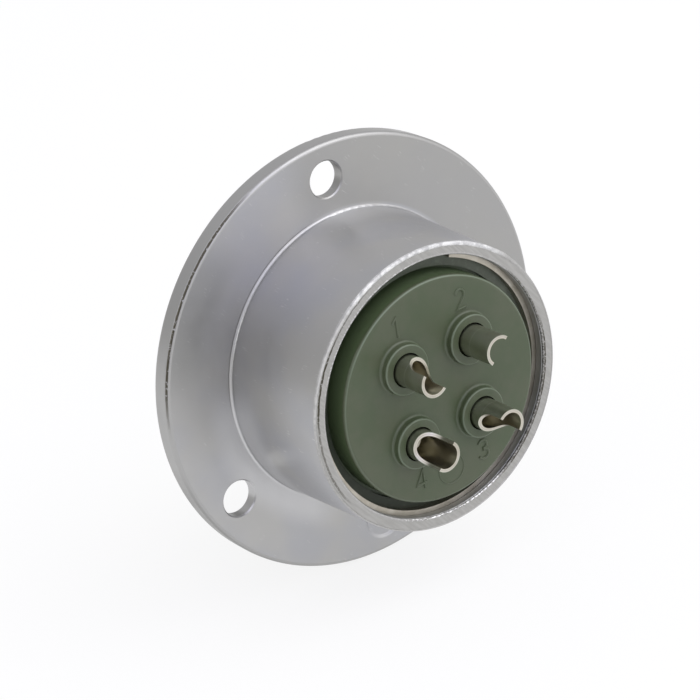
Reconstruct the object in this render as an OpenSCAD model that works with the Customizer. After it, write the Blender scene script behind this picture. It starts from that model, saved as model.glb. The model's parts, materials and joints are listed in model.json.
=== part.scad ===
// Four-pole panel receptacle of a round aviation connector, with its 3-hole flange.
// Sizes are in millimetres. Every piece is drawn on the connector's own axis, with the
// solder side down and the mating side up, and laid along Y as the last step: the solder
// side then faces -Y and the coupling barrel faces +Y, with one flange hole at the top.
// The origin is the middle of the flange face that lies on the panel.

/* [Shell] */
// Inside diameter of the rear body
bore_d = 30.6; // [28:0.1:40]
// Wall of the rear body at its open rim
rim_wall = 1.5; // [1.2:0.05:3]
// How much wider the body's radius is at the flange than at the rim
body_draft = 0.55; // [0.1:0.05:2]
// Length of the rear body, from flange to rim
body_len = 15.3; // [13:0.1:24]
// Radius of the fillet where the body meets the flange
foot_fillet = 0.3; // [0.2:0.1:1.5]
// Bevel on the rim's outer edge
rim_bevel = 0.2; // [0.1:0.05:0.4]
// Bevel on the rim's inner edge
mouth_bevel = 0.25; // [0.1:0.05:0.5]

/* [Flange] */
// Thickness of the flange
flange_t = 2.6; // [2:0.1:5]
// Number of screw holes
hole_count = 3; // [3:1:6]
// Diameter of a screw hole
hole_d = 4.3; // [3:0.1:5.5]
// Distance from the widest part of the shell to the hole circle
hole_inset = 4.4; // [3.6:0.05:8]
// Distance from the hole circle to the flange's edge
hole_edge = 4.25; // [4.05:0.05:8]
// Radius of the flange's rounded edges
flange_round = 0.5; // [0.2:0.1:0.8]
// Bevel round each screw hole, at the panel face
hole_bevel = 0.15; // [0.1:0.05:0.4]
// Depth of each screw hole's 90-degree countersink, at the mating face
sink_depth = 1.2; // [0.4:0.1:1.4]
// Diameter of the shallow round mould mark
mark_d = 5.4; // [3:0.1:6]
// Depth of the mould mark
mark_depth = 0.2; // [0.1:0.05:0.6]

/* [Coupling barrel] */
// Length of the barrel, from the flange's front face
barrel_len = 10.5; // [9:0.5:20]
// Inside diameter of the barrel
mouth_d = 25.8; // [24:0.1:34]
// Wall of the barrel under the thread
barrel_wall = 1.2; // [1.1:0.1:3]
// Height of the shoulder between flange and thread
shoulder_h = 1.4; // [0.6:0.1:2.5]
// Length of the shoulder
shoulder_len = 1.5; // [0.8:0.1:3]
// Length of the run-out groove behind the thread
relief_len = 1.5; // [0.8:0.1:3]
// Depth of the run-out groove
relief_depth = 0.3; // [0.1:0.05:0.6]
// Bevel at the barrel's end
barrel_bevel = 0.7; // [0.3:0.1:1]
// Height of the polarising keys inside the barrel
key_h = 1; // [0.6:0.1:1.6]
// Width of the main key, at the top
main_key_w = 3; // [2:0.1:5]
// Width of the two side keys
side_key_w = 1.6; // [1:0.1:3]
// Angle from the main key to each side key
side_key_angle = 112; // [90:1:150]
// How far the keys stop short of the barrel's end
key_setback = 1.5; // [0.5:0.1:4]

/* [Insert seat] */
// Distance of the shell's inner seat in front of the panel face
seat_z = 1; // [0:0.1:2]
// Thickness of the seat web
web_t = 2; // [1.2:0.1:4]
// How far the web stands in from the bore
seat_lip = 1.7; // [1.2:0.1:3]
// Width of the rib that stops the insert from turning
rib_w = 2.4; // [1.5:0.1:4]
// Height of that rib
rib_h = 1; // [0.5:0.1:1.5]
// Radial clearance of a moulded or rubber piece in metal
insert_clear = 0.1; // [0.05:0.01:0.2]

/* [Retaining ring and washer] */
// Distance from the rim to the ring
ring_depth = 1.25; // [0.8:0.05:2.5]
// Thickness of the ring
ring_t = 0.9; // [0.6:0.05:1.4]
// How far the ring stands in from the bore
ring_reach = 0.6; // [0.4:0.05:1.2]
// How far the ring sits in its groove
ring_seat = 0.55; // [0.3:0.05:0.8]
// Clearance of the ring in its groove
ring_clear = 0.05; // [0.03:0.01:0.1]
// Angle of the ring's gap, centred at the top
ring_gap = 41; // [15:1:80]
// Thickness of the pressure washer
washer_t = 0.7; // [0.4:0.05:1.5]
// Gap between the washer and the insert's face cylinder
washer_gap = 0.35; // [0.15:0.05:0.8]
// Thickness of the rubber gasket on the seat
gasket_t = 1; // [0.6:0.1:2]

/* [Insulators] */
// Radial gap between the insert's face cylinder and the bore
face_gap = 2.05; // [1.6:0.05:3]
// How far the insert's face stands out of the rim
face_proud = 0.65; // [0:0.05:2]
// Radius of the face's rounded edge
face_round = 0.4; // [0.1:0.05:0.8]
// Thickness of the front insulator's flange
front_flange_t = 4; // [2:0.1:6]
// How far the front insulator stands out of the web
nose_proud = 0.8; // [0.2:0.1:2]
// Diameter of the circle of contacts
contact_pcd = 13; // [11:0.1:14.5]
// Diameter of the boss round a solder cup
boss_d = 5.9; // [5.2:0.1:7]
// Height of the boss
boss_h = 1; // [0.4:0.1:2]
// Radius of the boss's rounded edge
boss_round = 0.2; // [0.1:0.05:0.4]
// Radius of the fillet round the foot of the boss
boss_fillet = 0.3; // [0.1:0.05:0.5]

/* [Contacts] */
// Outside diameter of a solder cup
cup_d = 3.65; // [3:0.05:4.4]
// Wall of a solder cup
cup_wall = 0.4; // [0.3:0.05:0.8]
// How far a solder cup stands out of its boss
cup_proj = 4.85; // [3.5:0.05:8]
// Depth of the solder cup's hole
cup_depth = 6.5; // [5:0.1:8]
// Length of the cup that is milled open on one side
cut_len = 3.75; // [2.8:0.05:4.5]
// Radius that the cutter leaves at the end of the opening
cut_r = 2.15; // [1.9:0.05:2.6]
// Radial clearance round a solder cup in the rear insulator
cup_clear = 0.175; // [0.05:0.025:0.3]
// Direction that the cups open, turned from straight outward
cup_turn = 90; // [0:5:180]
// How far the contact's collar stands out of the cup
collar_h = 0.85; // [0.5:0.05:1]
// Thickness of the collar
collar_t = 1.4; // [0.8:0.1:2.5]
// Depth of the flat that stops a contact from turning
flat_depth = 0.45; // [0.2:0.05:0.5]
// Diameter of a contact pin
pin_d = 3; // [2.6:0.1:4]
// How far the pins stop short of the barrel's end
pin_setback = 1.3; // [1:0.1:4]
// Radius of a pin's rounded tip
pin_round = 1; // [0.4:0.1:1.2]
// How much thicker the pin's shank is, inside the front insulator
shank_h = 0.35; // [0.2:0.05:0.5]
// How far the shank stands out of the front insulator
shank_proud = 0.4; // [0.2:0.1:1]
// Radial clearance of a shank or collar in its insulator
pin_clear = 0.1; // [0.03:0.01:0.15]

/* [Hidden] */
$fn = 96;

// Tools that cut a hole reach this far past the surface
past = 1;

// Shell radii
bore_r = bore_d / 2;
mouth_r = mouth_d / 2;
rim_r = bore_r + rim_wall;
foot_r = rim_r + body_draft;
root_r = mouth_r + barrel_wall;
shoulder_r = root_r + shoulder_h;
web_r = min(bore_r, mouth_r) - seat_lip;
hole_r = hole_d / 2;
hole_circle_r = max(foot_r, shoulder_r) + hole_inset;
flange_r = hole_circle_r + hole_edge;

// Heights along the axis, from the panel face
rim_z = -body_len;
floor_z = seat_z + web_t;
shoulder_z = flange_t + shoulder_len;
thread_z = shoulder_z + relief_len;
end_z = flange_t + barrel_len;

// Stack held between the retaining ring and the seat
ring_z = rim_z + ring_depth;
washer_z = ring_z + ring_t;
rear_flange_z = washer_z + washer_t;
gasket_z = seat_z - gasket_t;
parting_z = gasket_z - front_flange_t;
face_z = rim_z - face_proud;
boss_z = face_z - boss_h;
nose_z = floor_z + nose_proud;

// Insert radii
insert_r = bore_r - insert_clear;
face_r = bore_r - face_gap;
nose_r = web_r - insert_clear;

// Contact radii and ends
cup_r = cup_d / 2;
cup_hole_r = cup_r + cup_clear;
collar_r = cup_r + collar_h;
pin_r = pin_d / 2;
shank_r = pin_r + shank_h;
cup_z = boss_z - cup_proj;
shank_z = nose_z + shank_proud;
pin_z = end_z - pin_setback;
drill_point = (cup_r - cup_wall) * tan(31);

// Contacts 1 to 4 run clockwise from the upper left, seen from the solder side
CONTACT_COUNT = 4;
function contact_angle(i) = -45 + (i - 1) * 360 / CONTACT_COUNT;

// Polarising keys: angle and width
KEYS = [[0, main_key_w], [side_key_angle, side_key_w], [-side_key_angle, side_key_w]];

// Lays a piece along Y: what points up the axis then points to +Y
module lay_along_y() {
    rotate([-90, 0, 0]) children();
}

// Puts children at an angle from the top, clockwise seen from the solder side
module at_clock(angle, r = 0) {
    rotate([0, 0, angle]) translate([0, -r, 0]) children();
}

// Corner that rounds the meeting of a wall and a floor
module fillet_corner(r) {
    difference() {
        square(r);
        translate([r, r]) circle(r);
    }
}

// Flat ring or disc with square edges
module ring(r_out, r_in, z, h) {
    translate([0, 0, z]) difference() {
        cylinder(r = r_out, h = h);
        translate([0, 0, -past]) cylinder(r = r_in, h = h + 2 * past);
    }
}

// Disc section from the axis outward, with both outer edges rounded
module rounded_disc_section(r, z, h, edge) {
    translate([0, z]) difference() {
        square([r, h]);
        translate([r, 0]) mirror([1, 0]) fillet_corner(edge);
        translate([r, h]) mirror([1, 0]) mirror([0, 1]) fillet_corner(edge);
    }
}

// Outside of the shell: rear body, flange, shoulder, run-out groove and barrel
module shell_outside() {
    rotate_extrude() {
        polygon([
            [0, rim_z], [rim_r - rim_bevel, rim_z], [rim_r, rim_z + rim_bevel],
            [foot_r, 0], [foot_r, flange_t / 2], [0, flange_t / 2]
        ]);
        rounded_disc_section(flange_r, 0, flange_t, flange_round);
        translate([foot_r, 0]) mirror([0, 1]) fillet_corner(foot_fillet);
        polygon([
            [0, flange_t / 2], [shoulder_r, flange_t / 2], [shoulder_r, shoulder_z],
            [root_r - relief_depth, shoulder_z], [root_r - relief_depth, thread_z],
            [root_r, thread_z + relief_depth], [root_r, end_z - barrel_bevel],
            [root_r - barrel_bevel, end_z], [0, end_z]
        ]);
    }
}

// Everything that is bored out of the shell from its two ends
module shell_bores() {
    rotate_extrude() polygon([
        [0, rim_z - past], [bore_r + mouth_bevel + past, rim_z - past],
        [bore_r, rim_z + mouth_bevel], [bore_r, seat_z], [web_r, seat_z],
        [web_r, floor_z], [mouth_r, floor_z], [mouth_r, end_z + past], [0, end_z + past]
    ]);
    ring(bore_r + ring_seat + ring_clear, bore_r - past, ring_z - ring_clear, ring_t + ring_clear);
}

// One screw hole, bevelled at the panel face and countersunk at the mating face
module screw_hole() {
    rotate_extrude() polygon([
        [0, -past], [hole_r + hole_bevel + past, -past], [hole_r, hole_bevel],
        [hole_r, flange_t - sink_depth], [hole_r + sink_depth + past, flange_t + past],
        [0, flange_t + past]
    ]);
}

// Block that stands inward from a round wall
module wall_key(wall_r, h, w, z, len) {
    intersection() {
        translate([-w / 2, -wall_r - h, z]) cube([w, 2 * h, len]);
        translate([0, 0, z - past]) cylinder(r = wall_r + h / 2, h = len + 2 * past);
    }
}

module shell() {
    color("silver") lay_along_y() {
        difference() {
            shell_outside();
            shell_bores();
            for (i = [0 : hole_count - 1]) {
                at_clock(i * 360 / hole_count, hole_circle_r) screw_hole();
            }
            at_clock(180, hole_circle_r) translate([0, 0, -past])
                cylinder(d = mark_d, h = past + mark_depth);
        }
        for (key = KEYS) {
            at_clock(key[0]) wall_key(mouth_r, key_h, key[1], floor_z, end_z - key_setback - floor_z);
        }
        wall_key(bore_r, rib_h, rib_w, rear_flange_z, gasket_z - rear_flange_z);
    }
}

// Slot in an insulator's flange that fits over the rib in the bore
module rib_slot(z, h) {
    slot_w = rib_w + 2 * insert_clear;
    slot_depth = rib_h + insert_clear;
    translate([-slot_w / 2, -bore_r - past, z - past])
        cube([slot_w, slot_depth + past, h + 2 * past]);
}

// Collar of a contact, with the flat that keys it; grow makes its pocket
module collar(grow = 0) {
    difference() {
        translate([0, 0, parting_z - collar_t]) cylinder(r = collar_r + grow, h = collar_t);
        translate([-collar_r - past, -collar_r - past, parting_z - collar_t - past])
            cube([2 * (collar_r + past), past + flat_depth - grow, collar_t + 2 * past]);
    }
}

// Raised boss round a solder cup, filleted into the face of the insulator
module boss() {
    r = boss_d / 2;
    rotate_extrude() {
        translate([0, boss_z]) difference() {
            square([r, boss_h + past]);
            translate([r, 0]) mirror([1, 0]) fillet_corner(boss_round);
        }
        translate([r, face_z]) mirror([0, 1]) fillet_corner(boss_fillet);
    }
}

module rear_insulator() {
    color("darkolivegreen") lay_along_y() difference() {
        union() {
            rotate_extrude() {
                translate([0, face_z]) difference() {
                    square([face_r, parting_z - face_z]);
                    translate([face_r, 0]) mirror([1, 0]) fillet_corner(face_round);
                }
                translate([0, rear_flange_z]) square([insert_r, parting_z - rear_flange_z]);
            }
            for (i = [1 : CONTACT_COUNT]) {
                at_clock(contact_angle(i), contact_pcd / 2) boss();
            }
        }
        rib_slot(rear_flange_z, parting_z - rear_flange_z);
        for (i = [1 : CONTACT_COUNT]) {
            at_clock(contact_angle(i), contact_pcd / 2) {
                translate([0, 0, boss_z - past])
                    cylinder(r = cup_hole_r, h = parting_z - boss_z + 2 * past);
                collar(pin_clear);
            }
        }
    }
}

module front_insulator() {
    color("darkolivegreen") lay_along_y() difference() {
        union() {
            translate([0, 0, parting_z]) cylinder(r = insert_r, h = front_flange_t);
            rotate_extrude() translate([0, gasket_z]) difference() {
                square([nose_r, nose_z - gasket_z]);
                translate([nose_r, nose_z - gasket_z]) mirror([1, 0]) mirror([0, 1])
                    fillet_corner(face_round);
            }
        }
        rib_slot(parting_z, front_flange_t);
        for (i = [1 : CONTACT_COUNT]) {
            at_clock(contact_angle(i), contact_pcd / 2) translate([0, 0, parting_z - past])
                cylinder(r = shank_r + pin_clear, h = nose_z - parting_z + 2 * past);
        }
    }
}

module insert_gasket() {
    color("dimgray") lay_along_y() ring(insert_r, nose_r + insert_clear, gasket_z, gasket_t);
}

module pressure_washer() {
    color("dimgray") lay_along_y() ring(insert_r, face_r + washer_gap, washer_z, washer_t);
}

module retaining_ring() {
    reach = 2 * bore_r;
    color("tan") lay_along_y() difference() {
        ring(bore_r + ring_seat, bore_r - ring_reach, ring_z, ring_t);
        translate([0, 0, ring_z - past]) linear_extrude(ring_t + 2 * past) polygon([
            [0, 0], [-reach * tan(ring_gap / 2), -reach], [reach * tan(ring_gap / 2), -reach]
        ]);
    }
}

// Side opening of a solder cup: flat to the cup's middle, then a cutter radius
module cup_opening() {
    flat_len = cut_len - sqrt(pow(cut_r, 2) - pow(cut_r - cup_r, 2));
    rotate([0, -90, 0]) linear_extrude(2 * cup_r + 2 * past, center = true) {
        translate([cup_z - past, -cup_r - past]) square([flat_len + past, cup_r + past]);
        difference() {
            translate([cup_z + flat_len, -cut_r]) circle(cut_r);
            translate([cup_z + flat_len - 2 * cut_r, -2 * cut_r]) square([2 * cut_r, 2 * cut_r]);
        }
    }
}

// One contact, turned from rod: solder cup, keyed collar, shank and pin
module contact() {
    difference() {
        translate([0, 0, cup_z]) cylinder(r = cup_r, h = parting_z - cup_z);
        rotate_extrude() polygon([
            [0, cup_z - past], [cup_r - cup_wall, cup_z - past],
            [cup_r - cup_wall, cup_z + cup_depth], [0, cup_z + cup_depth + drill_point]
        ]);
        rotate([0, 0, cup_turn]) cup_opening();
    }
    collar();
    rotate_extrude() translate([0, parting_z]) {
        square([shank_r, shank_z - parting_z]);
        difference() {
            square([pin_r, pin_z - parting_z]);
            translate([pin_r, pin_z - parting_z]) mirror([1, 0]) mirror([0, 1])
                fillet_corner(pin_round);
        }
    }
}

// Contact in its place on the contact circle
module placed_contact(i) {
    color("wheat") lay_along_y() at_clock(contact_angle(i), contact_pcd / 2) contact();
}

shell();
rear_insulator();
front_insulator();
insert_gasket();
pressure_washer();
retaining_ring();
placed_contact(1);  // contact_1
placed_contact(2);  // contact_2
placed_contact(3);  // contact_3
placed_contact(4);  // contact_4
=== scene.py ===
"""Round-flange panel receptacle of an aviation connector: finishes, small forms, stage and camera.

Everything is in metres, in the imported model's frame: the connector's axis is Y, its solder
side faces -Y, and +Z points to the top flange hole.
"""

import json
import math

import bpy
from mathutils import Matrix, Vector, noise


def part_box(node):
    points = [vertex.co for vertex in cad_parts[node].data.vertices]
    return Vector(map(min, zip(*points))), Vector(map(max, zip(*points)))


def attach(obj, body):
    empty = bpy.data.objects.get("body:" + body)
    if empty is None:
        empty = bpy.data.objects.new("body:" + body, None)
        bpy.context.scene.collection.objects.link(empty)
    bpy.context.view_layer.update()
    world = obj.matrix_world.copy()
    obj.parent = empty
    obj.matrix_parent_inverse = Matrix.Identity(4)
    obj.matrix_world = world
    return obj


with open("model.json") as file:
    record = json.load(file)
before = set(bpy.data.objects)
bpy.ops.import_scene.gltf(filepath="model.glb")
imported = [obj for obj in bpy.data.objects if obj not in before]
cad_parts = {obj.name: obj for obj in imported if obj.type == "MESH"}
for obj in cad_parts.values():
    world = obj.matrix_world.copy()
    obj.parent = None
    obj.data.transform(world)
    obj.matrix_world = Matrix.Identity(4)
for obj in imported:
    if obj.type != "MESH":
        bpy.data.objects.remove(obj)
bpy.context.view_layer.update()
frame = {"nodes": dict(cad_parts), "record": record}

MM = 0.001

# ---- Places and sizes, from the frame's boxes and the shell's own dimensions ----

SHELL_LOW, SHELL_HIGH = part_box("shell")
RIM_Y = SHELL_LOW.y
BARREL_END_Y = SHELL_HIGH.y
FLANGE_R = SHELL_HIGH.x
FLANGE_T = 2.6 * MM
BORE_R = 15.3 * MM
RIM_R = 16.8 * MM
EDGE_ROUND = 0.5 * MM
BARREL_ROOT_R = 14.1 * MM
HOLE_CIRCLE_R = 21.75 * MM
MARK_R = 2.7 * MM
MARK_DEPTH = 0.2 * MM
FOOT_R = 17.35 * MM
FACE_R = 13.25 * MM
BOSS_R = 2.95 * MM
CUP_R = 1.825 * MM
CUP_BORE_R = 1.425 * MM
CONTACT_X = 13 / 2 / math.sqrt(2) * MM

BOSS_H = 1 * MM
FACE_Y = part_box("rear_insulator")[0].y + BOSS_H
NOSE_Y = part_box("front_insulator")[1].y

# The thread, with the plain lengths of barrel before and after it
THREAD_PITCH = 1.5 * MM
THREAD_CREST_R = 15 * MM
THREAD_HALF_BASE = 0.66 * MM
THREAD_HALF_CREST = 0.12 * MM
PLAIN_BEFORE = 3.6 * MM
PLAIN_AFTER = 1.1 * MM

# The contact numbers: height, and how far across and up from the middle
REAR_NUMBER_H, REAR_NUMBER_X, REAR_NUMBER_Z = 2.3 * MM, 4.5 * MM, 9.45 * MM
FRONT_NUMBER_H, FRONT_NUMBER_X, FRONT_NUMBER_Z = 1.9 * MM, 2.4 * MM, 8.2 * MM
CIRCLE_R = 1.75 * MM

# How far a skin stands off the face below it
SKIN = 0.006 * MM

# Share of plain white that the camera and reflections see in the floor, and the world's level
FLOOR_WHITE = 0.82
WORLD_LEVEL = 0.73


# ---- Node materials ----


def node(tree, kind, settings=None, **inputs):
    """Adds a node. An input takes a value or another node's output; _ stands for a space."""
    made = tree.nodes.new(kind)
    for name, value in (settings or {}).items():
        setattr(made, name, value)
    for name, value in inputs.items():
        feed(tree, made.inputs[name.replace("_", " ")], value)
    return made


def feed(tree, socket, value):
    """Sets a socket to a value, or links it to another node's output."""
    if isinstance(value, bpy.types.NodeSocket):
        tree.links.new(value, socket)
    else:
        socket.default_value = value


def calc(tree, operation, a, b=0.0):
    """One step of arithmetic on two numbers."""
    made = node(tree, "ShaderNodeMath", {"operation": operation})
    feed(tree, made.inputs[0], a)
    feed(tree, made.inputs[1], b)
    return made.outputs[0]


def span(tree, value, low, high, to_low=0.0, to_high=1.0):
    """Maps a value smoothly from one range to another, and clamps it there."""
    made = node(
        tree,
        "ShaderNodeMapRange",
        {"interpolation_type": "SMOOTHSTEP"},
        Value=value,
        From_Min=low,
        From_Max=high,
        To_Min=to_low,
        To_Max=to_high,
    )
    return made.outputs[0]


def mixed(tree, share, a, b):
    """Mixes two colours."""
    return node(tree, "ShaderNodeMixRGB", Fac=share, Color1=a, Color2=b).outputs[0]


def grain(tree, size, detail=3.0, roughness=0.55, stretch=(1, 1, 1), turn=(0, 0, 0)):
    """Noise with features of about the given size in metres, stretched or turned."""
    place = node(tree, "ShaderNodeTexCoord").outputs["Object"]
    if turn != (0, 0, 0):
        place = node(tree, "ShaderNodeMapping", Vector=place, Rotation=turn).outputs[0]
    place = node(tree, "ShaderNodeMapping", Vector=place, Scale=stretch).outputs[0]
    made = node(
        tree, "ShaderNodeTexNoise", Vector=place, Scale=1 / size, Detail=detail, Roughness=roughness
    )
    return made.outputs["Fac"]


def bump(tree, height, depth, strength=1.0, under=None):
    """Turns a height from 0 to 1 into surface relief of the given depth in metres."""
    made = node(tree, "ShaderNodeBump", Height=height, Distance=depth, Strength=strength)
    if under is not None:
        tree.links.new(under, made.inputs["Normal"])
    return made.outputs[0]


def length_of(tree, a, b):
    """Length of the vector with the two components."""
    squares = calc(tree, "ADD", calc(tree, "POWER", a, 2), calc(tree, "POWER", b, 2))
    return calc(tree, "SQRT", squares)


def place_on_axis(tree):
    """Distance from the connector's axis, height along it and clock angle from the top."""
    x, y, z = node(
        tree, "ShaderNodeSeparateXYZ", Vector=node(tree, "ShaderNodeTexCoord").outputs["Object"]
    ).outputs
    return length_of(tree, x, z), y, calc(tree, "ARCTAN2", x, z)


def from_contact(tree):
    """Distance from the axis of the nearest contact."""
    x, _, z = node(
        tree, "ShaderNodeSeparateXYZ", Vector=node(tree, "ShaderNodeTexCoord").outputs["Object"]
    ).outputs
    across = calc(tree, "SUBTRACT", calc(tree, "ABSOLUTE", x), CONTACT_X)
    up = calc(tree, "SUBTRACT", calc(tree, "ABSOLUTE", z), CONTACT_X)
    return length_of(tree, across, up)


def finish_of(name, base, metallic, roughness):
    """A material with one Principled shader; returns it with its tree and shader."""
    made = bpy.data.materials.new(name)
    made.use_nodes = True
    tree = made.node_tree
    shader = tree.nodes["Principled BSDF"]
    feed(tree, shader.inputs["Base Color"], (*base, 1))
    shader.inputs["Metallic"].default_value = metallic
    shader.inputs["Roughness"].default_value = roughness
    return made, tree, shader


def clock_share(tree, clock, middle, half):
    """1 where the clock angle is within half of the middle, fading out over 16 degrees."""
    edge = math.radians(8)
    middle, half = math.radians(middle), math.radians(half)
    near = calc(tree, "COSINE", calc(tree, "SUBTRACT", clock, middle))
    return span(tree, near, math.cos(half + edge), math.cos(half - edge))


def ragged_line(tree, place, middle, half, raggedness):
    """A broken, wavering line where the place is within half of the middle."""
    waver = calc(tree, "SUBTRACT", grain(tree, 0.9 * MM, 4.0, 0.65), 0.5)
    shifted = calc(tree, "ADD", place, calc(tree, "MULTIPLY", waver, raggedness))
    away = calc(tree, "ABSOLUTE", calc(tree, "SUBTRACT", shifted, middle))
    broken = span(tree, grain(tree, 0.35 * MM, 3.0, 0.7), 0.34, 0.46)
    return calc(tree, "MULTIPLY", span(tree, away, half * 1.3, half * 0.7), broken)


def band(tree, place, middle, half):
    """1 at the middle place, falling to 0 at half on both sides."""
    away = calc(tree, "ABSOLUTE", calc(tree, "SUBTRACT", place, middle))
    return span(tree, away, half, half * 0.3)


def scratch_marks(tree, lean, length):
    """Sparse, fine, short scratches that lean by an angle; length is in millimetres."""
    stretch = (1, 0.12 / length, 0.12 / length)
    lines = grain(tree, 0.12 * MM, 0.0, 0.5, stretch, (0, math.radians(lean), 0))
    here = span(tree, grain(tree, 1.6 * MM, 1.0), 0.60, 0.66)
    return calc(tree, "MULTIPLY", span(tree, lines, 0.70, 0.76), here)


def product(tree, *factors):
    """All the factors multiplied."""
    result = factors[0]
    for factor in factors[1:]:
        result = calc(tree, "MULTIPLY", result, factor)
    return result


def largest(tree, *values):
    """The largest of the values."""
    result = values[0]
    for value in values[1:]:
        result = calc(tree, "MAXIMUM", result, value)
    return result


def painted_shell_light_and_shade(tree, colour, radius, y, clock):
    """Paler and darker zones painted on the plating as light and shade, at tones compared with the
    photograph.
    """
    # Painted dim reflection: darker over the upper right of the flange's face
    dimmer = product(
        tree,
        span(tree, radius, FOOT_R + 0.3 * MM, FOOT_R + 0.7 * MM),
        clock_share(tree, clock, 46, 56),
        0.75,
    )
    # Painted light at the body's foot, low at the left and at the upper right, where the flange
    # throws light back
    corner = product(
        tree,
        span(tree, radius, FOOT_R + 4.5 * MM, FOOT_R + 1.5 * MM),
        span(tree, y, -5.5 * MM, -2.5 * MM),
        clock_share(tree, clock, -122, 34),
    )
    upper_foot = product(
        tree,
        span(tree, radius, FOOT_R + 0.3 * MM, FOOT_R + 0.1 * MM),
        span(tree, y, -5.0 * MM, -1.5 * MM),
        clock_share(tree, clock, 22, 24),
    )
    # Painted shade: darker on the flange's face at the left, standing for its dark reflection
    shade = product(
        tree,
        span(tree, radius, FOOT_R + 2.5 * MM, FOOT_R + 5.5 * MM),
        clock_share(tree, clock, -58, 16),
        0.8,
    )
    colour = mixed(tree, dimmer, colour, (0.36, 0.356, 0.345, 1))
    colour = mixed(tree, largest(tree, corner, upper_foot), colour, (0.56, 0.56, 0.565, 1))
    return mixed(tree, shade, colour, (0.385, 0.385, 0.375, 1))


def flange_side_shade(tree, colour, radius, clock):
    """Painted shade on the flange's thin side, darkest at its lower left."""
    at_edge = span(tree, radius, FLANGE_R - 0.48 * MM, FLANGE_R - 0.40 * MM)
    low_edge = product(
        tree,
        span(tree, radius, FLANGE_R - 0.3 * MM, FLANGE_R - 0.1 * MM),
        clock_share(tree, clock, -132, 26),
        0.8,
    )
    # The side is painted slightly darker as shade, and darker still at the lower left
    colour = mixed(tree, at_edge, colour, (0.41, 0.408, 0.402, 1))
    return mixed(tree, low_edge, colour, (0.30, 0.298, 0.292, 1))


def torn_and_shaded_lines(tree, rim, radius, y, clock):
    """Dark lines: painted shadow behind the outer lip, ragged lines by the inner burr and on the
    flange's edge, painted shade at the foot.
    """
    behind_lip = largest(
        tree,
        clock_share(tree, clock, -66, 18),
        calc(tree, "MULTIPLY", clock_share(tree, clock, -72, 46), 0.6),
    )
    # Painted shadow in the hollow behind the outer lip, on the rim's left
    shadow_behind_lip = product(
        tree,
        rim,
        behind_lip,
        ragged_line(tree, radius, RIM_R - 0.50 * MM, 0.12 * MM, 0.3 * MM),
    )
    inner_tear = product(
        tree,
        rim,
        clock_share(tree, clock, 118, 34),
        ragged_line(tree, radius, BORE_R + 0.36 * MM, 0.08 * MM, 0.3 * MM),
    )
    edge_tear = product(
        tree,
        span(tree, radius, FLANGE_R - 0.25 * MM, FLANGE_R - 0.18 * MM),
        clock_share(tree, clock, -55, 28),
        ragged_line(tree, y, 0.19 * MM, 0.11 * MM, 0.10 * MM),
    )
    # Painted shade in the corner between the body's foot and the flange, at the left
    foot_shade_line = product(
        tree,
        band(tree, radius, FOOT_R + 0.32 * MM, 0.10 * MM),
        band(tree, y, 0, 0.25 * MM),
        clock_share(tree, clock, -50, 38),
    )
    return largest(
        tree, shadow_behind_lip, inner_tear, edge_tear, calc(tree, "MULTIPLY", foot_shade_line, 0.4)
    )


def plated_shell():
    """Satin nickel plating on a die casting, with a machined rim."""
    made, tree, shader = finish_of("plated_shell", (0.45, 0.45, 0.455), 0.9, 0.38)
    radius, y, clock = place_on_axis(tree)
    rim = product(
        tree,
        span(tree, y, RIM_Y + 0.12 * MM, RIM_Y + 0.02 * MM),
        span(tree, radius, BORE_R - 0.1 * MM, BORE_R),
    )
    inside = product(
        tree,
        span(tree, radius, BORE_R + 0.06 * MM, BORE_R + 0.01 * MM),
        span(tree, y, RIM_Y + 0.2 * MM, RIM_Y + 0.4 * MM),
    )

    clouds = span(tree, grain(tree, 9 * MM, 2.0, 0.5), 0.35, 0.65)
    colour = mixed(tree, clouds, (0.437, 0.439, 0.455, 1), (0.466, 0.462, 0.452, 1))
    # Painted light and shade in zones of the plating
    colour = painted_shell_light_and_shade(tree, colour, radius, y, clock)
    scratches = largest(tree, scratch_marks(tree, 30, 1.6), scratch_marks(tree, 44, 1.2))
    colour = mixed(tree, calc(tree, "MULTIPLY", scratches, 0.6), colour, (0.58, 0.58, 0.57, 1))
    # Painted shade on the flange's side
    colour = flange_side_shade(tree, colour, radius, clock)

    turned = grain(tree, 0.3 * MM, 2.0, 0.6, (1, 1, 0.1), (0, math.radians(38), 0))
    cut_lines = span(tree, turned, 0.3, 0.7)
    faced = mixed(tree, cut_lines, (0.378, 0.373, 0.358, 1), (0.446, 0.441, 0.426, 1))
    colour = mixed(tree, rim, colour, faced)
    colour = mixed(tree, inside, colour, (0.36, 0.36, 0.35, 1))
    torn_and_shade = torn_and_shaded_lines(tree, rim, radius, y, clock)
    # Dark colour of the ragged lines, of the painted shadow behind the lip and of the painted shade
    # at the foot
    colour = mixed(tree, torn_and_shade, colour, (0.085, 0.078, 0.06, 1))
    feed(tree, shader.inputs["Base Color"], colour)

    satin = span(tree, grain(tree, 2.5 * MM, 3.0), 0.3, 0.7, 0.35, 0.41)
    machined = calc(tree, "MULTIPLY", largest(tree, rim, inside), 0.12)
    feed(tree, shader.inputs["Roughness"], calc(tree, "ADD", satin, machined))

    peel = grain(tree, 0.35 * MM, 3.0, 0.5)
    relief = bump(tree, peel, 0.008 * MM, 0.3)
    relief = bump(tree, scratches, 0.01 * MM, 0.4, relief)
    relief = bump(tree, calc(tree, "MULTIPLY", turned, rim), 0.04 * MM, 0.5, relief)
    relief = bump(tree, calc(tree, "SUBTRACT", 1.0, torn_and_shade), 0.08 * MM, 0.8, relief)
    tree.links.new(relief, shader.inputs["Normal"])
    return made


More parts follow.
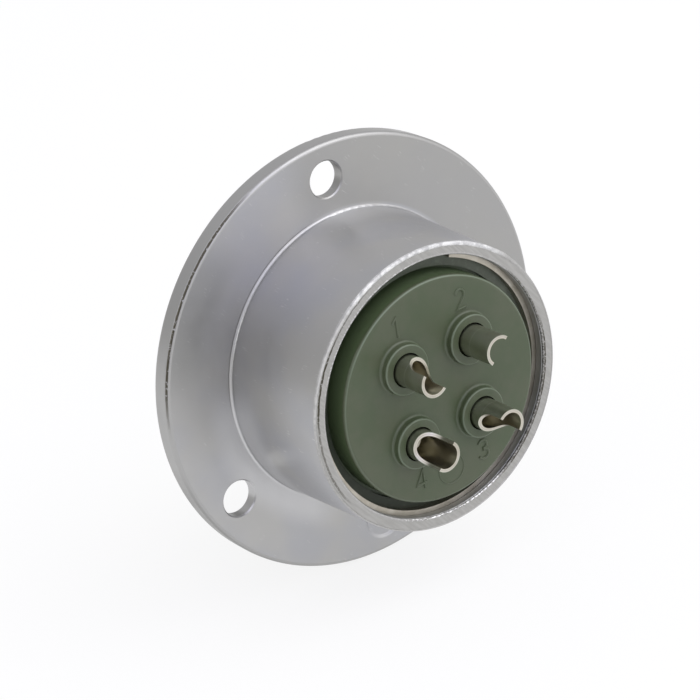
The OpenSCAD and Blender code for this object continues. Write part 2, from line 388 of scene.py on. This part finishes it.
def cut_edge():
    """Metal of the lips along the rim: painted highlights where the lips face the light, painted
    shade with ragged specks at the right.
    """
    made, tree, shader = finish_of("cut_edge", (0.8, 0.8, 0.79), 0.6, 0.42)
    radius, _, clock = place_on_axis(tree)
    outer = span(tree, radius, RIM_R - 0.8 * MM, RIM_R - 0.7 * MM)
    # Clock zones of painted highlight on the inner and outer lips
    inner_lit = largest(
        tree,
        clock_share(tree, clock, 180, 24),
        calc(tree, "MULTIPLY", clock_share(tree, clock, -35, 32), 0.5),
    )
    outer_lit = largest(
        tree,
        clock_share(tree, clock, 2, 38),
        calc(tree, "MULTIPLY", clock_share(tree, clock, -52, 34), 0.35),
    )
    lit = mixed(tree, outer, inner_lit, outer_lit)
    patches = span(tree, grain(tree, 0.8 * MM, 4.0, 0.65), 0.36, 0.62)
    specks = span(tree, grain(tree, 0.3 * MM, 3.0, 0.7), 0.44, 0.58)
    plain = mixed(tree, specks, (0.40, 0.395, 0.38, 1), (0.46, 0.455, 0.44, 1))
    torn_and_shade = mixed(tree, specks, (0.12, 0.115, 0.10, 1), (0.34, 0.335, 0.32, 1))
    inner = calc(tree, "SUBTRACT", 1.0, outer)
    # Painted shade, with ragged dark specks, on the inner burr at the right
    shaded = calc(tree, "MULTIPLY", clock_share(tree, clock, 104, 52), inner)
    # Colours of the painted highlights, ragged on the inner burr
    ragged = mixed(tree, specks, (0.32, 0.315, 0.30, 1), (0.92, 0.92, 0.91, 1))
    bright = mixed(tree, patches, (0.56, 0.56, 0.56, 1), (0.86, 0.86, 0.85, 1))
    bright = mixed(tree, outer, ragged, bright)
    colour = mixed(tree, lit, mixed(tree, shaded, plain, torn_and_shade), bright)
    feed(tree, shader.inputs["Base Color"], colour)
    relief = bump(tree, grain(tree, 0.15 * MM, 3.0), 0.012 * MM, 0.3)
    tree.links.new(relief, shader.inputs["Normal"])
    return made


def green_moulding():
    """Olive green moulded insulator, semi-matt, with painted highlights along its moulded edges."""
    made, tree, shader = finish_of("green_moulding", (0.08, 0.11, 0.055), 0.0, 0.4)
    radius, y, clock = place_on_axis(tree)
    away = from_contact(tree)
    near_face = span(tree, y, FACE_Y + 0.5 * MM, FACE_Y + 0.2 * MM)
    # Painted highlights along the face's edge, weakest at the lower left, on the boss tops' edges
    # and, weaker, at the boss feet
    face_edge = product(
        tree,
        near_face,
        band(tree, radius, FACE_R - 0.16 * MM, 0.1 * MM),
        span(tree, clock, math.radians(-115), math.radians(-20), 0.35, 1.0),
    )
    on_boss = span(tree, y, FACE_Y - BOSS_H + 0.25 * MM, FACE_Y - BOSS_H + 0.15 * MM)
    boss_edge = product(tree, on_boss, band(tree, away, BOSS_R - 0.07 * MM, 0.11 * MM))
    foot = product(
        tree,
        band(tree, y, FACE_Y - 0.1 * MM, 0.2 * MM),
        band(tree, away, BOSS_R + 0.12 * MM, 0.10 * MM),
    )
    foot = calc(tree, "MULTIPLY", foot, 0.18)
    boss_edge = calc(tree, "MULTIPLY", boss_edge, 0.75)
    painted_highlight = largest(tree, face_edge, boss_edge, foot)

    mottle = span(tree, grain(tree, 3.5 * MM, 4.0, 0.6), 0.3, 0.7)
    colour = mixed(tree, mottle, (0.055, 0.076, 0.037, 1), (0.067, 0.081, 0.045, 1))
    deep = span(tree, y, FACE_Y + 0.35 * MM, FACE_Y + 0.7 * MM)
    colour = mixed(tree, deep, colour, (0.066, 0.096, 0.044, 1))
    # Light green colour of the painted highlights
    colour = mixed(tree, calc(tree, "MULTIPLY", painted_highlight, 0.65), colour, (0.17, 0.21, 0.15, 1))
    feed(tree, shader.inputs["Base Color"], colour)
    feed(tree, shader.inputs["Roughness"], span(tree, grain(tree, 0.8 * MM), 0.3, 0.7, 0.34, 0.44))
    relief = bump(tree, grain(tree, 0.25 * MM, 3.0), 0.006 * MM, 0.3)
    tree.links.new(relief, shader.inputs["Normal"])
    return made


def gasket_rubber():
    """Black rubber."""
    made, tree, shader = finish_of("gasket_rubber", (0.03, 0.03, 0.03), 0.0, 0.7)
    dust = span(tree, grain(tree, 0.6 * MM), 0.4, 0.75)
    colour = mixed(tree, dust, (0.02, 0.02, 0.02, 1), (0.06, 0.06, 0.055, 1))
    feed(tree, shader.inputs["Base Color"], colour)
    tree.links.new(bump(tree, grain(tree, 0.2 * MM), 0.02 * MM, 0.5), shader.inputs["Normal"])
    return made


def washer_metal():
    """Dark oxide on a flat steel washer, painted darker on its lower side as shade."""
    made, tree, shader = finish_of("washer_metal", (0.07, 0.08, 0.06), 0.15, 0.5)
    wear = span(tree, grain(tree, 1.2 * MM, 4.0), 0.45, 0.8)
    unshaded_tone = mixed(tree, wear, (0.10, 0.115, 0.085, 1), (0.15, 0.17, 0.13, 1))
    shaded_tone = mixed(tree, wear, (0.024, 0.032, 0.018, 1), (0.04, 0.05, 0.03, 1))
    _, _, clock = place_on_axis(tree)
    # Painted shade: the lower side of the washer is darker
    colour = mixed(tree, clock_share(tree, clock, -160, 85), unshaded_tone, shaded_tone)
    feed(tree, shader.inputs["Base Color"], colour)
    tree.links.new(bump(tree, grain(tree, 0.15 * MM), 0.008 * MM, 0.4), shader.inputs["Normal"])
    return made


def ring_metal():
    """Nickel plated spring steel, a little warm."""
    made, tree, shader = finish_of("ring_metal", (0.48, 0.45, 0.39), 1.0, 0.36)
    wear = span(tree, grain(tree, 1.5 * MM, 3.0), 0.35, 0.7)
    colour = mixed(tree, wear, (0.42, 0.39, 0.33, 1), (0.52, 0.49, 0.43, 1))
    feed(tree, shader.inputs["Base Color"], colour)
    feed(tree, shader.inputs["Roughness"], span(tree, grain(tree, 0.5 * MM), 0.3, 0.7, 0.32, 0.42))
    tree.links.new(bump(tree, grain(tree, 0.12 * MM), 0.006 * MM, 0.4), shader.inputs["Normal"])
    return made


def contact_plating():
    """Silver plating on brass: bright where the cup was cut, partly as a painted highlight, dim
    outside, tarnished inside.
    """
    made, tree, shader = finish_of("contact_plating", (0.60, 0.57, 0.50), 1.0, 0.3)
    away = from_contact(tree)
    _, y, _ = place_on_axis(tree)
    tarnish = span(tree, grain(tree, 2.2 * MM, 3.0, 0.5), 0.4, 0.7)
    # The cut faces: bright fresh metal, partly a painted highlight
    cut = mixed(tree, tarnish, (0.66, 0.63, 0.565, 1), (0.54, 0.50, 0.43, 1))
    # Painted dark reflection along the middle of each cut face, between its bright edges
    painted_dark_middle = calc(tree, "MULTIPLY", band(tree, away, 1.62 * MM, 0.11 * MM), 0.45)
    cut = mixed(tree, painted_dark_middle, cut, (0.36, 0.33, 0.27, 1))
    dimmer = mixed(tree, tarnish, (0.47, 0.48, 0.40, 1), (0.41, 0.41, 0.33, 1))
    # Painted highlight: a light ring round the contact, standing for the highlight on a step
    step_highlight = band(tree, y, FACE_Y - BOSS_H - 1.7 * MM, 0.09 * MM)
    dimmer = mixed(tree, calc(tree, "MULTIPLY", step_highlight, 0.5), dimmer, (0.66, 0.66, 0.60, 1))
    bore = mixed(tree, tarnish, (0.46, 0.435, 0.34, 1), (0.38, 0.355, 0.27, 1))
    colour = mixed(tree, span(tree, away, CUP_R - 0.08 * MM, CUP_R - 0.05 * MM), cut, dimmer)
    in_bore = span(tree, away, CUP_BORE_R + 0.06 * MM, CUP_BORE_R + 0.03 * MM)
    colour = mixed(tree, in_bore, colour, bore)
    before_boss = span(tree, y, FACE_Y + 2 * MM, FACE_Y + 1 * MM)
    pins = mixed(tree, tarnish, (0.62, 0.59, 0.52, 1), (0.54, 0.50, 0.43, 1))
    feed(tree, shader.inputs["Base Color"], mixed(tree, before_boss, pins, colour))
    feed(tree, shader.inputs["Roughness"], span(tree, grain(tree, 1.5 * MM), 0.3, 0.7, 0.28, 0.34))
    relief = bump(tree, grain(tree, 0.4 * MM, 2.0, 0.5, (1, 0.2, 1)), 0.003 * MM, 0.3)
    tree.links.new(relief, shader.inputs["Normal"])
    return made


FINISHES = {
    "plated_shell": plated_shell(),
    "green_moulding": green_moulding(),
    "gasket_rubber": gasket_rubber(),
    "washer_metal": washer_metal(),
    "ring_metal": ring_metal(),
    "contact_plating": contact_plating(),
}
CUT_EDGE = cut_edge()


def dress_nodes():
    """Gives each CAD node the finish of its material slot in the record."""
    for part in frame["record"]["subparts"]:
        thing = frame["nodes"][part["node"]]
        thing.data.materials.clear()
        thing.data.materials.append(FINISHES[part["material_slot"]])


# ---- Small forms that the CAD leaves to the scene ----


def new_piece(name, verts, faces, slot, finish=None):
    """Makes a mesh piece that rides on the connector, in the slot's finish unless one is given."""
    mesh = bpy.data.meshes.new(name)
    mesh.from_pydata(verts, [], faces)
    mesh.validate()
    mesh.update()
    mesh.shade_smooth()
    mesh.set_sharp_from_angle(angle=math.radians(40))
    mesh.materials.append(finish or FINISHES[slot])
    thing = bpy.data.objects.new(name, mesh)
    bpy.context.scene.collection.objects.link(thing)
    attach(thing, "root")
    return thing


def sweep(sections, closed):
    """Joins equal rings of points into a skin; closed joins the last ring to the first."""
    count = len(sections[0])
    verts = [point for section in sections for point in section]
    faces = []
    for i in range(len(sections) if closed else len(sections) - 1):
        a, b = i * count, (i + 1) % len(sections) * count
        for j in range(count):
            k = (j + 1) % count
            faces.append((a + j, a + k, b + k, b + j))
    if not closed:
        faces.append(tuple(range(count))[::-1])
        faces.append(tuple(range(len(verts) - count, len(verts))))
    return verts, faces


def on_clock(radius, y, angle):
    """A point at a radius, a height along the axis and a clock angle from the top."""
    return Vector((radius * math.sin(angle), y, radius * math.cos(angle)))


def rim_burr(name, profile, middle, half, steps=1080):
    """An irregular lip of metal along one edge of the machined rim.

    It stands highest within half of the middle clock angle, in degrees, and fades beyond
    that. The profile takes a roughness and a share of the full height, both from 0 to 1,
    and gives the lip's section as (radius, y).
    """
    fade = 30
    sections = []
    for i in range(steps):
        angle = math.tau * i / steps
        around = on_clock(1.0, 0.0, angle)
        rough = 0.5 + 0.5 * noise.noise(around * 9)
        rough += 0.35 * noise.noise(around * 38) + 0.18 * noise.noise(around * 150)
        rough = min(max(rough, 0.0), 1.0)
        away = abs((math.degrees(angle) - middle + 180) % 360 - 180)
        share = min(max((half + fade / 2 - away) / fade, 0.0), 1.0)
        sections.append([on_clock(r, y, angle) for r, y in profile(rough, share)])
    verts, faces = sweep(sections, closed=True)
    return new_piece(name, verts, faces, "plated_shell", CUT_EDGE)


def outer_lip(rough, share):
    """Section of the rounded lip that the cutter pushed up at the rim's outer edge."""
    width = (0.14 + 0.30 * share) * MM
    top = RIM_Y - (0.02 + 0.05 * share + 0.09 * rough * share) * MM
    lean = (0.01 + 0.09 * rough * share) * MM
    return [
        (RIM_R - width - 0.06 * MM, RIM_Y + 0.06 * MM),
        (RIM_R - width, RIM_Y - 0.01 * MM),
        (RIM_R - 0.75 * width, top + 0.02 * MM),
        (RIM_R - 0.45 * width, top),
        (RIM_R - 0.12 * width + lean, top + 0.05 * MM),
        (RIM_R + lean, top + 0.17 * MM),
        (RIM_R + 0.5 * lean, top + 0.28 * MM),
        (RIM_R + 0.004 * MM, RIM_Y + 0.3 * MM),
    ]


def inner_burr(rough, share):
    """Section of the ragged edge round the mouth of the bore."""
    top = RIM_Y - (0.02 + 0.13 * rough * share) * MM
    lean = (0.02 + 0.10 * rough * share) * MM
    return [
        (BORE_R + 0.32 * MM, RIM_Y + 0.05 * MM),
        (BORE_R + 0.27 * MM, RIM_Y - 0.01 * MM),
        (BORE_R + 0.20 * MM - lean, top),
        (BORE_R + 0.10 * MM - lean, top + 0.06 * MM),
        (BORE_R + 0.02 * MM, RIM_Y + 0.28 * MM),
    ]


def flange_edge():
    """Fine skin over the rounded edge of the flange's panel face."""
    skin = EDGE_ROUND + SKIN
    centre = FLANGE_R - EDGE_ROUND
    profile = [(centre - 0.05 * MM, 0.03 * MM)]
    for i in range(11):
        turn = math.radians(9 * i)
        profile.append((centre + skin * math.sin(turn), EDGE_ROUND - skin * math.cos(turn)))
    profile.append((FLANGE_R - 0.03 * MM, EDGE_ROUND + 0.05 * MM))
    steps = 720
    sections = [[on_clock(r, y, math.tau * i / steps) for r, y in profile] for i in range(steps)]
    verts, faces = sweep(sections, closed=True)
    return new_piece("flange_edge", verts, faces, "plated_shell")


def mould_mark_edge():
    """Soft slope from the flange's face down to the floor of the round mould mark."""
    profile = []
    for i in range(9):
        share = i / 8
        drop = 1 - share * share * (3 - 2 * share)
        radius = MARK_R + (0.5 * share - 0.495) * MM
        profile.append((radius, MARK_DEPTH * drop - 0.003 * MM * share))
    profile += [(MARK_R + 0.01 * MM, 0.03 * MM), (MARK_R + 0.01 * MM, MARK_DEPTH + 0.05 * MM)]
    profile.append((MARK_R - 0.45 * MM, MARK_DEPTH + 0.05 * MM))
    steps = 144
    sections = []
    for i in range(steps):
        section = [on_clock(r, y, math.tau * i / steps) for r, y in profile]
        sections.append([point - Vector((0, 0, HOLE_CIRCLE_R)) for point in section])
    verts, faces = sweep(sections, closed=True)
    return new_piece("mould_mark_edge", verts, faces, "plated_shell")


def coupling_thread():
    """Helical ridge M30 x 1.5 on the barrel's root cylinder, fading at both ends."""
    root = BARREL_ROOT_R - 0.05 * MM
    start = FLANGE_T + PLAIN_BEFORE
    end = BARREL_END_Y - PLAIN_AFTER
    per_turn = 96
    fade = per_turn / 4
    steps = int((end - start) / THREAD_PITCH * per_turn)
    sections = []
    for i in range(steps + 1):
        angle = math.tau * i / per_turn
        y = start + THREAD_PITCH * i / per_turn
        share = min(1.0, i / fade, (steps - i) / fade)
        top = root + (THREAD_CREST_R - root) * max(share, 0.02)
        section = [
            (root, -THREAD_HALF_BASE),
            (top, -THREAD_HALF_CREST),
            (top, THREAD_HALF_CREST),
            (root, THREAD_HALF_BASE),
        ]
        sections.append([on_clock(r, y + dy, angle) for r, dy in section])
    verts, faces = sweep(sections, closed=False)
    return new_piece("coupling_thread", verts, faces, "plated_shell")


def arc(cx, cy, rx, ry, start, end, steps=12):
    """Points on an ellipse's arc, with angles in degrees."""
    turns = [math.radians(start + (end - start) * i / steps) for i in range(steps + 1)]
    return [(cx + rx * math.cos(t), cy + ry * math.sin(t)) for t in turns]


# Strokes of the four contact numbers, in a box 0.7 wide and 1 high
NUMBERS = {
    1: [[(0.14, 0.78), (0.36, 1.0), (0.36, 0.0)]],
    2: [arc(0.33, 0.72, 0.26, 0.28, 165, -35) + [(0.06, 0.0), (0.60, 0.0)]],
    3: [arc(0.33, 0.76, 0.25, 0.24, 160, -90) + arc(0.33, 0.26, 0.30, 0.26, 90, -160)],
    4: [[(0.50, 0.0), (0.50, 1.0), (0.06, 0.27), (0.64, 0.27)]],
}

# Section of a raised stroke, as shares of its width and height
STROKE_SECTION = [
    (-0.5, -0.2), (-0.4, 0.5), (-0.22, 0.92), (0, 1), (0.22, 0.92), (0.4, 0.5), (0.5, -0.2)
]


def raised_line(name, paths, y, side, slot, width=0.34 * MM, height=0.16 * MM):
    """Raised strokes on a face at y, as one mesh piece; side is -1 on a face towards -Y.

    Each path is a list of (x, z) points and whether it is closed.
    """
    verts, faces = [], []
    for points, closed in paths:
        points = [Vector(point) for point in points]
        count = len(points)
        sections = []
        for i, point in enumerate(points):
            before = points[(i - 1) % count] if closed or i > 0 else None
            after = points[(i + 1) % count] if closed or i < count - 1 else None
            into = (point - before).normalized() if before else (after - point).normalized()
            out = (after - point).normalized() if after else into
            along = (into + out).normalized()
            across = Vector((-along.y, along.x)) / max(along.dot(into), 0.5)
            section = []
            for share, rise in STROKE_SECTION:
                foot = point + across * share * width
                section.append((foot.x, y + side * rise * height, foot.y))
            sections.append(section)
        skin, quads = sweep(sections, closed)
        start = len(verts)
        verts += skin
        faces += [tuple(start + corner for corner in quad) for quad in quads]
    return new_piece(name, verts, faces, slot)


def contact_number(value, x, z, y, side, end, height):
    """A number moulded on an insulator's face; side is -1 on the face towards -Y."""
    paths = []
    for stroke in NUMBERS[value]:
        points = [(x - side * (u - 0.36) * height, z + (v - 0.5) * height) for u, v in stroke]
        paths.append((points, False))
    return raised_line(f"number_{value}_{end}", paths, y, side, "green_moulding")


def contact_numbers():
    """Numbers 1 to 4 beside their contacts, on both faces of the insert."""
    for value, (sx, sz) in {1: (-1, 1), 2: (1, 1), 3: (1, -1), 4: (-1, -1)}.items():
        x, z = sx * REAR_NUMBER_X, sz * REAR_NUMBER_Z
        contact_number(value, x, z, FACE_Y, -1, "rear", REAR_NUMBER_H)
        x, z = sx * FRONT_NUMBER_X, sz * FRONT_NUMBER_Z
        contact_number(value, x, z, NOSE_Y, 1, "front", FRONT_NUMBER_H)


def moulded_circle():
    """Bare raised circle on the rear face, below the middle."""
    centre = Vector((-0.25 * MM, -9.9 * MM))
    points = arc(*centre, CIRCLE_R, CIRCLE_R, 0, 352.5, 47)
    return raised_line(
        "moulded_circle",
        [(points, True)],
        FACE_Y,
        -1,
        "green_moulding",
        width=0.2 * MM,
        height=0.08 * MM,
    )


# ---- Stage, light and camera ----


def seen_share(tree):
    """1 for rays from the camera, in reflections and through clear matter, otherwise 0."""
    path = node(tree, "ShaderNodeLightPath")
    rays = ("Is Camera Ray", "Is Glossy Ray", "Is Transmission Ray")
    return largest(tree, *(path.outputs[name] for name in rays))


def make_floor():
    """Pale floor under the flange, near white to the camera but for the object's shadow."""
    size = 3.0
    z = SHELL_LOW.z
    mesh = bpy.data.meshes.new("floor")
    corners = [(-size, -size, z), (size, -size, z), (size, size, z), (-size, size, z)]
    mesh.from_pydata(corners, [], [(0, 1, 2, 3)])
    floor = bpy.data.objects.new("floor", mesh)
    bpy.context.scene.collection.objects.link(floor)
    made, tree, shader = finish_of("floor", (0.92, 0.92, 0.92), 0.0, 0.9)
    white = node(tree, "ShaderNodeEmission", Color=(1, 1, 1, 1), Strength=1.0).outputs[0]
    share = calc(tree, "MULTIPLY", seen_share(tree), FLOOR_WHITE)
    mix = node(tree, "ShaderNodeMixShader", Fac=share)
    tree.links.new(shader.outputs[0], mix.inputs[1])
    tree.links.new(white, mix.inputs[2])
    tree.links.new(mix.outputs[0], tree.nodes["Material Output"].inputs["Surface"])
    mesh.materials.append(made)


def make_world():
    """Soft surroundings with four zones that the metal mirrors.

    They are lighter above the camera and low at its right, dark just below the camera and
    a little darker at its left.
    """
    world = bpy.data.worlds.new("studio")
    bpy.context.scene.world = world
    world.use_nodes = True
    tree = world.node_tree
    tree.nodes.clear()
    direction = node(tree, "ShaderNodeTexCoord").outputs["Generated"]

    def towards(way):
        """How nearly the seen direction points the given way: 1 where it does."""
        facing = node(tree, "ShaderNodeVectorMath", {"operation": "DOT_PRODUCT"})
        feed(tree, facing.inputs[0], direction)
        facing.inputs[1].default_value = Vector(way).normalized()
        return facing.outputs["Value"]

    # Placed by comparing the metal with the photograph's
    dark = span(tree, towards((-0.64, -0.75, 0.15)), 0.74, 0.98)
    cool = span(tree, towards((-0.18, -0.72, 0.66)), 0.70, 0.98)
    right = span(tree, towards((0.66, -0.74, 0.10)), 0.80, 0.98)
    left = span(tree, towards((-0.80, 0.58, 0.10)), 0.60, 0.96)
    level = WORLD_LEVEL
    for share, change in ((dark, -0.68), (cool, 1.25), (right, 0.8), (left, -0.16)):
        level = calc(tree, "ADD", calc(tree, "MULTIPLY", share, change), level)
    height = node(tree, "ShaderNodeSeparateXYZ", Vector=direction).outputs["Z"]
    tint = mixed(tree, span(tree, height, -0.1, 0.7), (1.0, 0.99, 0.97, 1), (0.97, 0.97, 1.0, 1))
    tint = mixed(tree, cool, tint, (0.86, 0.86, 1.0, 1))
    seen = node(tree, "ShaderNodeLightPath").outputs["Is Camera Ray"]
    colour = mixed(tree, seen, tint, (1, 1, 1, 1))
    level = largest(tree, seen, level)
    back = node(tree, "ShaderNodeBackground", Color=colour, Strength=level)
    out = node(tree, "ShaderNodeOutputWorld")
    tree.links.new(back.outputs[0], out.inputs["Surface"])


def soft_box(name, place, target, width, height, power):
    """A rectangular studio light that points at the target."""
    lamp = bpy.data.lights.new(name, "AREA")
    lamp.shape = "RECTANGLE"
    lamp.size, lamp.size_y = width, height
    lamp.energy = power
    thing = bpy.data.objects.new(name, lamp)
    thing.location = place
    thing.rotation_euler = (Vector(target) - Vector(place)).to_track_quat("-Z", "Y").to_euler()
    bpy.context.scene.collection.objects.link(thing)


def make_lights():
    """Soft boxes: the key above right and a smaller one at the left, low."""
    aim = (0, -0.005, 0)
    soft_box("key_light", (0.42, -0.34, 0.60), aim, 0.66, 0.66, 2.1)
    soft_box("edge_light", (-0.74, -0.08, 0.30), aim, 0.3, 0.3, 0.8)


def make_camera():
    """The photograph's view, as a rolled camera whose axis passes just beside the origin."""
    azimuth, elevation, roll = math.radians(-32.6), math.radians(24.9), math.radians(-9.8)
    distance = 346.3 * MM
    aside, above = -0.68 * MM, 0.29 * MM
    back = Vector(
        (
            math.sin(azimuth) * math.cos(elevation),
            -math.cos(azimuth) * math.cos(elevation),
            math.sin(elevation),
        )
    )
    level = Vector((math.cos(azimuth), math.sin(azimuth), 0))
    right = math.cos(roll) * level + math.sin(roll) * back.cross(level)
    up = back.cross(right)
    place = back * distance + right * aside + up * above
    data = bpy.data.cameras.new("camera")
    data.lens = 154.3
    data.sensor_width = 36
    data.clip_start, data.clip_end = 0.01, 20
    camera = bpy.data.objects.new("camera", data)
    turn = Matrix((right, up, back)).transposed().to_4x4()
    camera.matrix_world = Matrix.Translation(place) @ turn
    bpy.context.scene.collection.objects.link(camera)
    bpy.context.scene.camera = camera


dress_nodes()
rim_burr("rim_outer_lip", outer_lip, -5, 60)
rim_burr("rim_inner_burr", inner_burr, 165, 42)
coupling_thread()
flange_edge()
mould_mark_edge()
contact_numbers()
moulded_circle()
make_floor()
make_world()
make_lights()
make_camera()
bpy.context.scene.view_settings.view_transform = "Standard"
